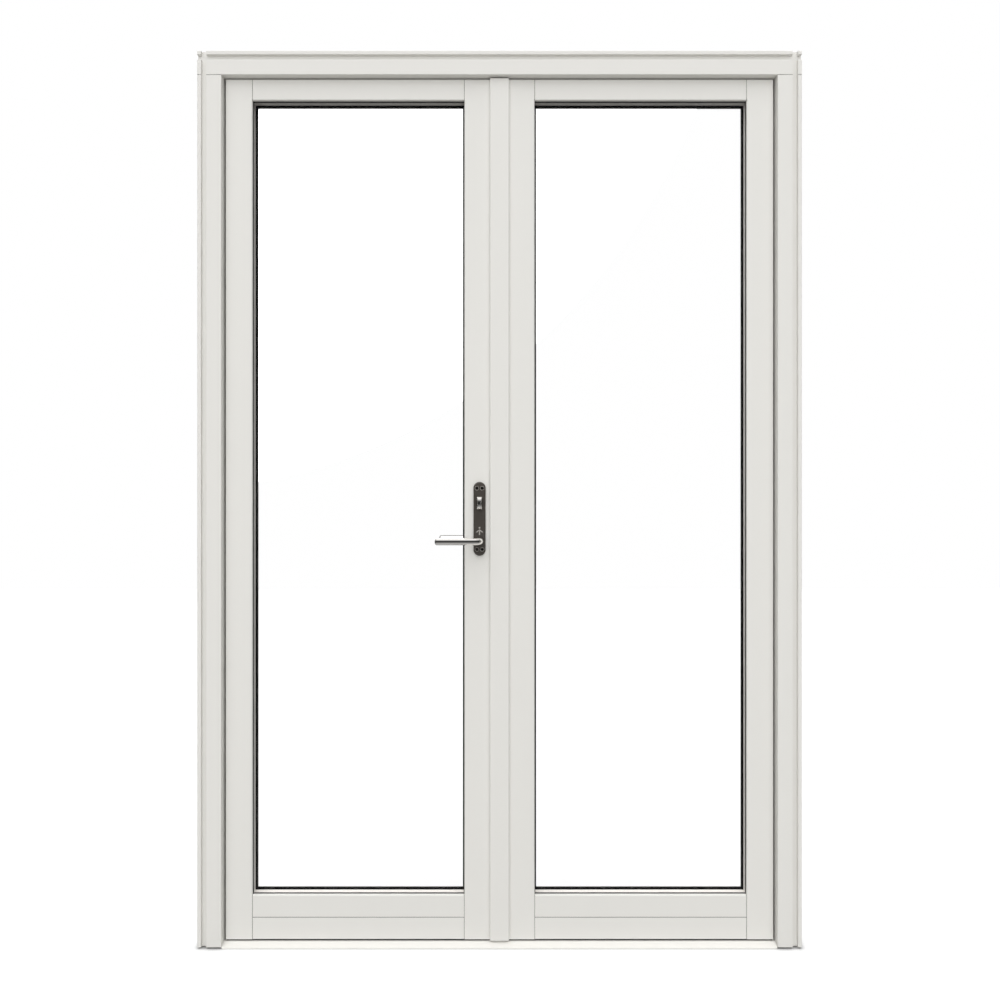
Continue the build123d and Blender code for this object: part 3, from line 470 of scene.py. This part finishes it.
# A low ridge: a flattened ellipse carried along a stroke whose width falls to nothing at its round ends.
def strokeGrid(start, end, width, face):
    start, end = np.array(start), np.array(end)
    along = end - start
    length = np.hypot(*along)
    along = along / length if length > 0 else np.array([0.0, 1.0])  # a stroke of no length is a dot
    across = np.array([-along[1], along[0]])
    turn = np.linspace(0, pi / 2, markShape["endSteps"])
    reach = np.concatenate([-width / 2 * np.cos(turn), length + width / 2 * np.sin(turn)])
    half = width / 2 * np.concatenate([np.sin(turn), np.cos(turn)])
    about = np.linspace(0, 2 * pi, markShape["around"], endpoint=False)
    side = half[:, None, None] * np.cos(about)[None, :, None]
    flat = start + reach[:, None, None] * along + side * across
    ridge = markShape["proud"] * np.minimum(half / half.max() * markShape["swell"], 1)
    lift = ridge[:, None] * np.sin(about)[None, :]
    return np.stack([flat[..., 0], face - lift, flat[..., 1]], -1)


def markGrids():
    low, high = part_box("inside_plate")
    middle, face, half = (low.x + high.x) / 2, low.y, markShape["chevronHalf"]
    apex, ends, stroke = markShape["apex"], markShape["ends"], markShape["stroke"]
    grids = [strokeGrid((middle + side * half, ends), (middle, apex), stroke, face) for side in (-1, 1)]
    upper, lower = markShape["stem"]
    grids.append(strokeGrid((middle, upper), (middle, lower), markShape["stemStroke"], face))
    dot = (middle, markShape["dot"])
    grids.append(strokeGrid(dot, dot, markShape["dotSize"], face))
    return grids


newPiece("liftArrow", markGrids(), "active_leaf", finishes["brightCut"])
print("plate mark")


# Seals: a section carried round a path of corners

# At each corner the section moves in by the mitre vector (n1 + n2) / (1 + n1.n2), the sum of the two sides'
# inward normals over one plus their product, so the lengths on both sides keep their width.
def mitredGrid(corners, section, closed):
    corners, section = np.array(corners, float), np.array(section, float)
    runs = np.roll(corners, -1, 0) - corners
    runs /= np.linalg.norm(runs, axis=1, keepdims=True)
    inward = np.stack([runs[:, 1], -runs[:, 0]], -1)
    if closed:
        before, after = np.roll(inward, 1, 0), inward
    else:
        inward = inward[:-1]
        before = np.concatenate([inward[:1], inward])
        after = np.concatenate([inward, inward[-1:]])
    mitre = (before + after) / (1 + (before * after).sum(1, keepdims=True))
    flat = corners[:, None, :] + section[None, :, :1] * mitre[:, None, :]
    y = np.broadcast_to(section[None, :, 1], flat.shape[:2])
    return np.stack([flat[..., 0], y, flat[..., 1]], -1)


def ringCorners(low, high):
    return [(low.x, low.z), (low.x, high.z), (high.x, high.z), (high.x, low.z)]


gasketShape = {
    "innerProud": 0.0016,  # how far the lip shows past the sight line
    "outerProud": 0.0046,
    "nose": 0.0009,        # depth of the lip's rounding
    "lipSteps": 9,
}


# From the glass pocket's rim inwards; the visible lip is a half ellipse of the section.
def gasketSection(back, front, reach):
    lip = np.linspace(-pi / 2, pi / 2, gasketShape["lipSteps"])
    middle, half, nose = (back + front) / 2, (back - front) / 2, gasketShape["nose"]
    rounded = np.stack([reach - nose + nose * np.cos(lip), middle - half * np.sin(lip)], -1)
    return np.concatenate([[[0, front], [0, back]], rounded])


for leaf in ("active", "passive"):
    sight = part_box(f"{leaf}_bottom_rail")[1].z  # top of the rail, where the glass shows from
    for layer in ("inner", "outer"):
        node = f"{leaf}_{layer}_gasket"
        low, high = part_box(node)
        reach = sight - low.z + gasketShape[f"{layer}Proud"]
        grid = mitredGrid(ringCorners(low, high), gasketSection(high.y, low.y, reach), True)
        name, body = f"{leaf}{layer.capitalize()}Lip", f"{leaf}_leaf"
        seal = newPiece(name, [grid], body, finishes["rubber"], closedRows=True)
        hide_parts(node)

sealShape = {
    "width": 0.007,
    "foot": 0.0012,      # thickness of the foot on the stop
    "bulbMiddle": 0.55,  # across the width
    "bulbHalf": 0.45,
    "bulbSteps": 13,
}


# A foot and a bulb: the bulb is a half circle stretched to the seal's full depth.
def frameSealGrid():
    low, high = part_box("frame_seals")
    width, foot = sealShape["width"], low.y + sealShape["foot"]
    turn = np.linspace(0, pi, sealShape["bulbSteps"])
    bulbX = width * sealShape["bulbMiddle"] - width * sealShape["bulbHalf"] * np.cos(turn)
    bulbY = foot + (high.y - foot) * np.sin(turn)
    section = np.concatenate([[[0, low.y], [0, foot]], np.stack([bulbX, bulbY], -1), [[width, low.y]]])
    return mitredGrid(ringCorners(low, high), section, False)


frameSeal = newPiece("frameSealBulb", [frameSealGrid()], "frame", finishes["rubber"], caps=True)
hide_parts("frame_seals")
print("seals")


# the hairlines below are dark strips of painted shade, set in the V of each joint
jointShape = {
    "depth": 0.0014,           # of the V at each joint
    "top": 0.0008,             # depth of the hairline's face in it
    "half": 0.0006,            # half of its width
    "jambFace": 0.056,
    "groove": (0.009, 0.021),  # the lining groove, in from the frame's edges, which cuts the frame's joints
}


# A hairline of painted shade at the root of each V: a dark strip that stands in for the shadow in the open
# joint, a flat section carried straight along the joint.
def jointGrid(start, end, faceY):
    half, top, root = jointShape["half"], faceY + jointShape["top"], faceY + jointShape["depth"]
    section = [(-half, top), (half, top), (half, root), (-half, root)]
    return mitredGrid([start, end], section, False)


def leafJoints(leaf):
    hinge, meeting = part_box(f"{leaf}_hinge_stile"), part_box(f"{leaf}_meeting_stile")
    left, right = (hinge[1].x, meeting[0].x) if leaf == "active" else (meeting[1].x, hinge[0].x)
    rail, board, top = (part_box(f"{leaf}_{part}") for part in ("bottom_rail", "kick_board", "top_rail"))
    lowest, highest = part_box("meeting_post")[0].z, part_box("meeting_post")[1].z
    faceY = board[0].y
    joints = [jointGrid((x, lowest), (x, rail[1].z), faceY) for x in (left, right)]
    joints += [jointGrid((x, top[0].z), (x, highest), faceY) for x in (left, right)]
    return joints + [jointGrid((left, rail[0].z), (right, rail[0].z), faceY)]


def frameJoints():
    low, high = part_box("frame_head")
    near, far = jointShape["groove"]
    runs = [(high.x - near, high.x), (high.x - jointShape["jambFace"], high.x - far)]
    return [jointGrid((side * start, low.z), (side * end, low.z), low.y)
            for side in (-1, 1) for start, end in runs]


# the joint strips are painted shade: dark where the open joints would only be in shadow
for body, name, grids in (("active_leaf", "activeJointShadeStrips", leafJoints("active")),
                          ("passive_leaf", "passiveJointShadeStrips", leafJoints("passive")),
                          ("frame", "frameJointShadeStrips", frameJoints())):
    newPiece(name, grids, body, finishes["paintedJointShade"], caps=True)
print("joint lines")


# Studio

studio = {
    "ambient": 0.485,  # light from all round, for everything but what the camera and mirrors see
    "flagged": ((0.0, 1.0), (0.45, 1.0), (0.85, 0.10)),  # how that light falls off towards the two sides
    "keyFrom": (-0.05, -0.86, 0.51), "keyStrength": 1.85, "keyAngle": 90,
    "topFrom": (0.0, -0.05, 1.0), "topStrength": 1.2, "topAngle": 60,
    "backFrom": (-0.3, 0.8, 0.5), "backStrength": 0.9, "backAngle": 60,
    "floorHalf": 9.0,
    "floorTone": (0.42, 0.414, 0.400),  # of the light that the floor sends back up
    "floorGlow": 0.55,      # what the camera sees of the floor, before its light and shadow
    "floorShade": 0.48,     # how much of its light and shadow is added to that
    "contactReach": 0.016,  # how near a piece has to be to darken the floor beside it
    "contactSamples": 8,
    "contactShade": ((0.45, 0.04), (0.95, 1.0)),  # from a closed corner to the open floor
    # what metal sees of the floor, by distance over floorHalf
    "floorMirrored": ((0.0, 0.34), (0.06, 0.44), (0.10, 0.34), (0.16, 0.20), (0.3, 0.11), (0.5, 0.03)),
    # what metal sees of the room, by height: 0 straight down, 0.5 level, 1 straight up
    "roomMirrored": ((0.0, 0.42), (0.30, 0.38), (0.40, 0.03), (0.65, 0.03), (0.75, 0.25), (0.90, 0.80),
                     (0.97, 1.0)),
    "behindMirrored": ((0.62, 1.0), (0.8, 0.45), (0.95, 0.2)),  # its fall from the front, 0, to the back, 1
}


def addSun(which):
    data = bpy.data.lights.new(f"{which}Lamp", "SUN")
    data.energy, data.angle = studio[f"{which}Strength"], radians(studio[f"{which}Angle"])
    lamp = bpy.data.objects.new(f"{which}Lamp", data)
    scene.collection.objects.link(lamp)
    lamp.rotation_euler = Vector(studio[f"{which}From"]).to_track_quat("Z", "Y").to_euler()
    lamp.visible_glossy = False  # metal sees the room, not the lamps


for which in ("key", "top", "back"):
    addSun(which)


def greyRamp(tree, source, stops):
    ramp = addNode(tree, "ShaderNodeValToRGB", [("Fac", source)])
    while len(ramp.color_ramp.elements) < len(stops):
        ramp.color_ramp.elements.new(0.5)
    for element, (place, grey) in zip(ramp.color_ramp.elements, stops):
        element.position, element.color = place, (grey, grey, grey, 1)
    return ramp.outputs["Color"]


def byRay(tree, lighting, mirrored, shown):
    # lighting is what lights the object, mirrored what metal sees and shown what the camera sees; the last
    # two are seen through glass as well
    paths = tree.nodes.new("ShaderNodeLightPath").outputs
    through, mirrors = paths["Is Transmission Ray"], paths["Glossy Depth"]
    straight = calc(tree, "LESS_THAN", calc(tree, "ADD", mirrors, paths["Diffuse Depth"]), 0.5)
    seenRay = calc(tree, "MAXIMUM", paths["Is Camera Ray"], calc(tree, "MULTIPLY", through, straight))
    bounced = calc(tree, "GREATER_THAN", mirrors, 0.5)
    mirroredRay = calc(tree, "MAXIMUM", paths["Is Glossy Ray"], calc(tree, "MULTIPLY", through, bounced))
    unseen = addNode(tree, "ShaderNodeMixShader",
                     [("Fac", mirroredRay), (1, lighting.outputs[0]), (2, mirrored.outputs[0])])
    return addNode(tree, "ShaderNodeMixShader",
                   [("Fac", seenRay), (1, unseen.outputs[0]), (2, shown.outputs[0])]).outputs[0]


def buildWorld():
    # white behind everything; metal sees a white ceiling, a dark band round the horizon and a grey floor
    world = bpy.data.worlds.new("studioWorld")
    scene.world = world
    world.use_nodes = True
    tree = world.node_tree
    tree.nodes.clear()
    direction = addNode(tree, "ShaderNodeTexCoord").outputs["Generated"]
    way = addNode(tree, "ShaderNodeSeparateXYZ", [("Vector", direction)]).outputs
    flags = greyRamp(tree, calc(tree, "ABSOLUTE", way["X"]), studio["flagged"])
    ambient = addNode(tree, "ShaderNodeBackground", [("Color", flags)], in_Strength=studio["ambient"])
    white = addNode(tree, "ShaderNodeBackground", in_Color=(1, 1, 1, 1))
    room = greyRamp(tree, calc(tree, "MULTIPLY_ADD", way["Z"], 0.5, 0.5), studio["roomMirrored"])
    behind = greyRamp(tree, calc(tree, "MULTIPLY_ADD", way["Y"], 0.5, 0.5), studio["behindMirrored"])
    mirrored = addNode(tree, "ShaderNodeBackground", [("Color", scaled(tree, room, behind))])
    addNode(tree, "ShaderNodeOutputWorld", [("Surface", byRay(tree, ambient, mirrored, white))])


def buildFloor():
    half = studio["floorHalf"]
    mesh = bpy.data.meshes.new("studioFloor")
    corners = [(-half, -half, 0), (half, -half, 0), (half, half, 0), (-half, half, 0)]
    mesh.from_pydata(corners, [], [(0, 1, 2, 3)])
    floor = bpy.data.objects.new("studioFloor", mesh)
    scene.collection.objects.link(floor)
    material = bpy.data.materials.new("paleFloor")
    material.use_nodes = True
    tree = material.node_tree
    tree.nodes.clear()
    plain = addNode(tree, "ShaderNodeBsdfDiffuse", in_Color=(*studio["floorTone"], 1))
    shade = addNode(tree, "ShaderNodeBsdfDiffuse", in_Color=(*[studio["floorShade"]] * 3, 1))
    near = addNode(tree, "ShaderNodeAmbientOcclusion", samples=studio["contactSamples"],
                   in_Distance=studio["contactReach"])
    contact = greyRamp(tree, near.outputs["AO"], studio["contactShade"])
    glow = addNode(tree, "ShaderNodeEmission", [("Color", contact)], in_Strength=studio["floorGlow"])
    shown = addNode(tree, "ShaderNodeAddShader", [(0, shade.outputs[0]), (1, glow.outputs[0])])
    place = addNode(tree, "ShaderNodeTexCoord").outputs["Object"]
    distance = addNode(tree, "ShaderNodeVectorMath", [(0, place)], operation="LENGTH").outputs["Value"]
    tone = greyRamp(tree, calc(tree, "DIVIDE", distance, half), studio["floorMirrored"])
    mirrored = addNode(tree, "ShaderNodeEmission", [("Color", tone)])
    addNode(tree, "ShaderNodeOutputMaterial", [("Surface", byRay(tree, plain, mirrored, shown))])
    mesh.materials.append(material)


buildWorld()
buildFloor()

view = {
    "place": (0.0, -2.296, 1.040),  # square to the doors, at half their height
    "lens": 35.0,
    "sensor": 36.0,
    "shift": (0.0005, -0.0002),
}
cameraData = bpy.data.cameras.new("frontCamera")
cameraData.lens, cameraData.sensor_width, cameraData.sensor_fit = view["lens"], view["sensor"], "HORIZONTAL"
cameraData.shift_x, cameraData.shift_y = view["shift"]
camera = bpy.data.objects.new("frontCamera", cameraData)
scene.collection.objects.link(camera)
camera.location = view["place"]
camera.rotation_euler = (pi / 2, 0, 0)
scene.camera = camera
scene.view_settings.view_transform = "Standard"
print("studio")
